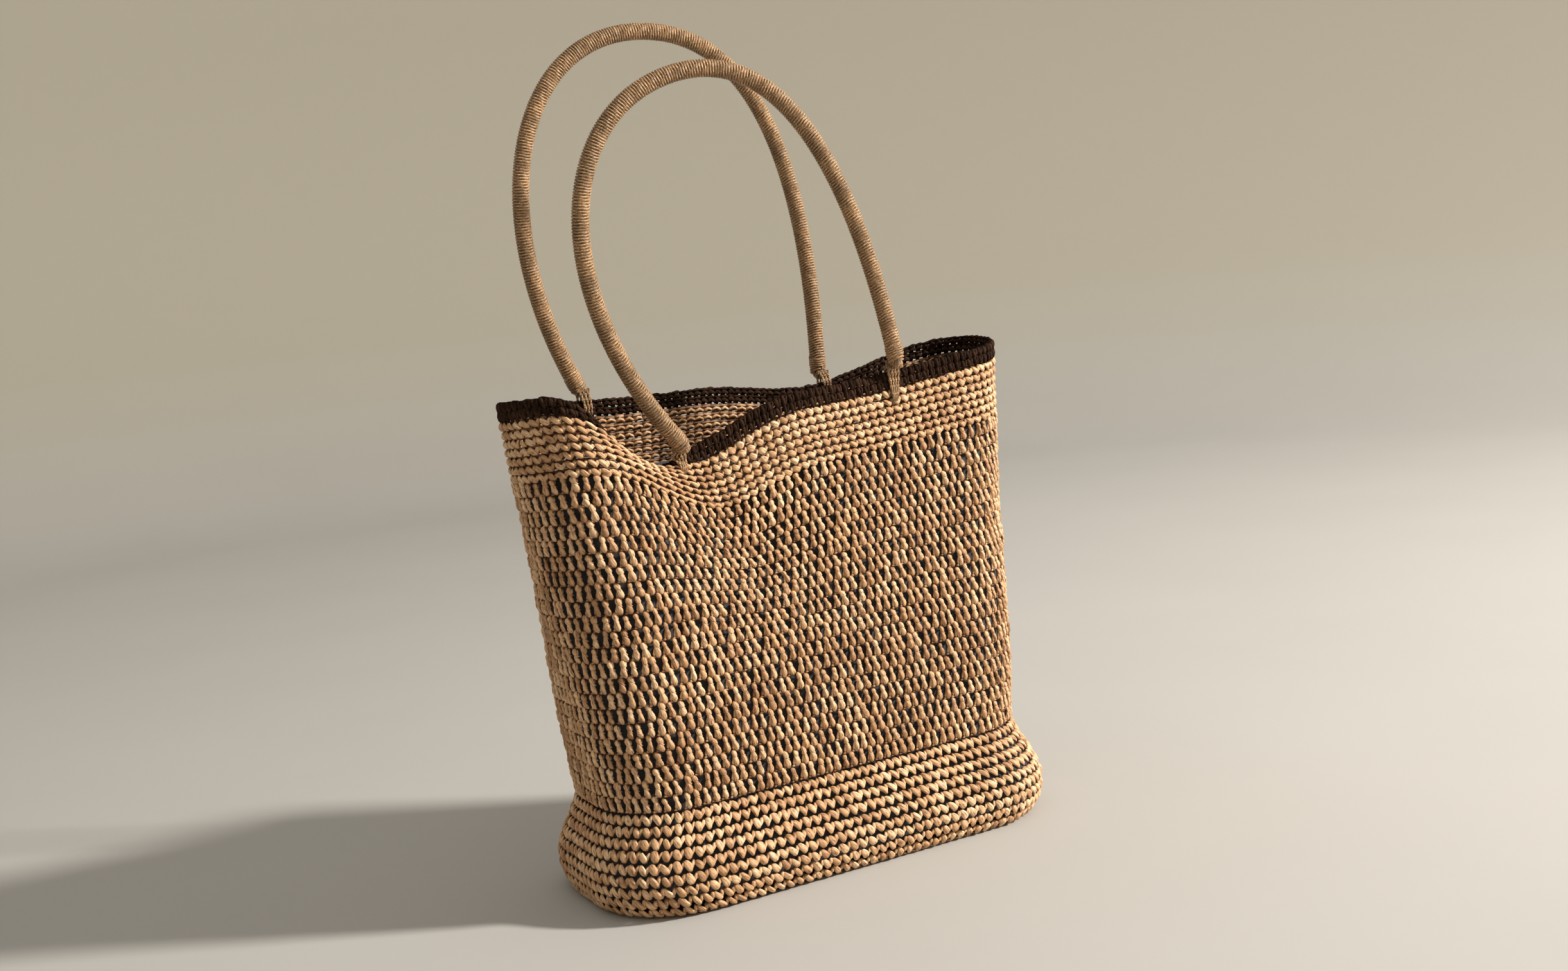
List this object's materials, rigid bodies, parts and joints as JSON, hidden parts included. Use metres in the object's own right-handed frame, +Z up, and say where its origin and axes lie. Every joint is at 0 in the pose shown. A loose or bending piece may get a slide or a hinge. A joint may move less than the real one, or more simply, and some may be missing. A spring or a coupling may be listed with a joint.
{
  "type": "beach bag",
  "caption": "Crocheted raffia beach bag with a dark trim at the mouth and two tall cord-wrapped rope handles that swing on their lashings.",
  "frame": {"origin": "centre of the bounding box at the underside of the base panel", "axes": "+Z up, the wide front faces -Y, +X to the right seen from the front"},
  "size_m": [0.4244, 0.19, 0.6553],
  "materials": {
    "raffia": "matte crocheted paper raffia",
    "dark_raffia": "matte dark brown paper raffia",
    "cord": "fine twisted raffia cord, slight sheen",
    "rope": "cotton rope",
    "lining_cloth": "charcoal plain-weave cotton"
  },
  "bodies": {
    "bag": {"base_panel": "raffia", "lower_band": "raffia", "openwork_wall": "raffia", "upper_band": "raffia", "trim_first_round": "dark_raffia", "trim_edge_round": "dark_raffia", "lining": "lining_cloth", "front_left_lashing": "cord", "front_right_lashing": "cord", "back_left_lashing": "cord", "back_right_lashing": "cord"},
    "front_handle": {"front_handle_core": "rope", "front_handle_wrap": "cord", "front_handle_whippings": "cord"},
    "back_handle": {"back_handle_core": "rope", "back_handle_wrap": "cord", "back_handle_whippings": "cord"}
  },
  "joints": [
    {"name": "front_handle_swing", "type": "hinge", "parent": "bag", "child": "front_handle", "pos_m": [-0.08961, -0.04086, 0.33324], "axis": [0.9724, -0.0709, 0.2223], "range_deg": [-8, 145]},
    {"name": "back_handle_swing", "type": "hinge", "parent": "bag", "child": "back_handle", "pos_m": [0.08632, 0.06173, 0.36806], "axis": [-0.9986, -0.0174, 0.0508], "range_deg": [-8, 145]}
  ]
}
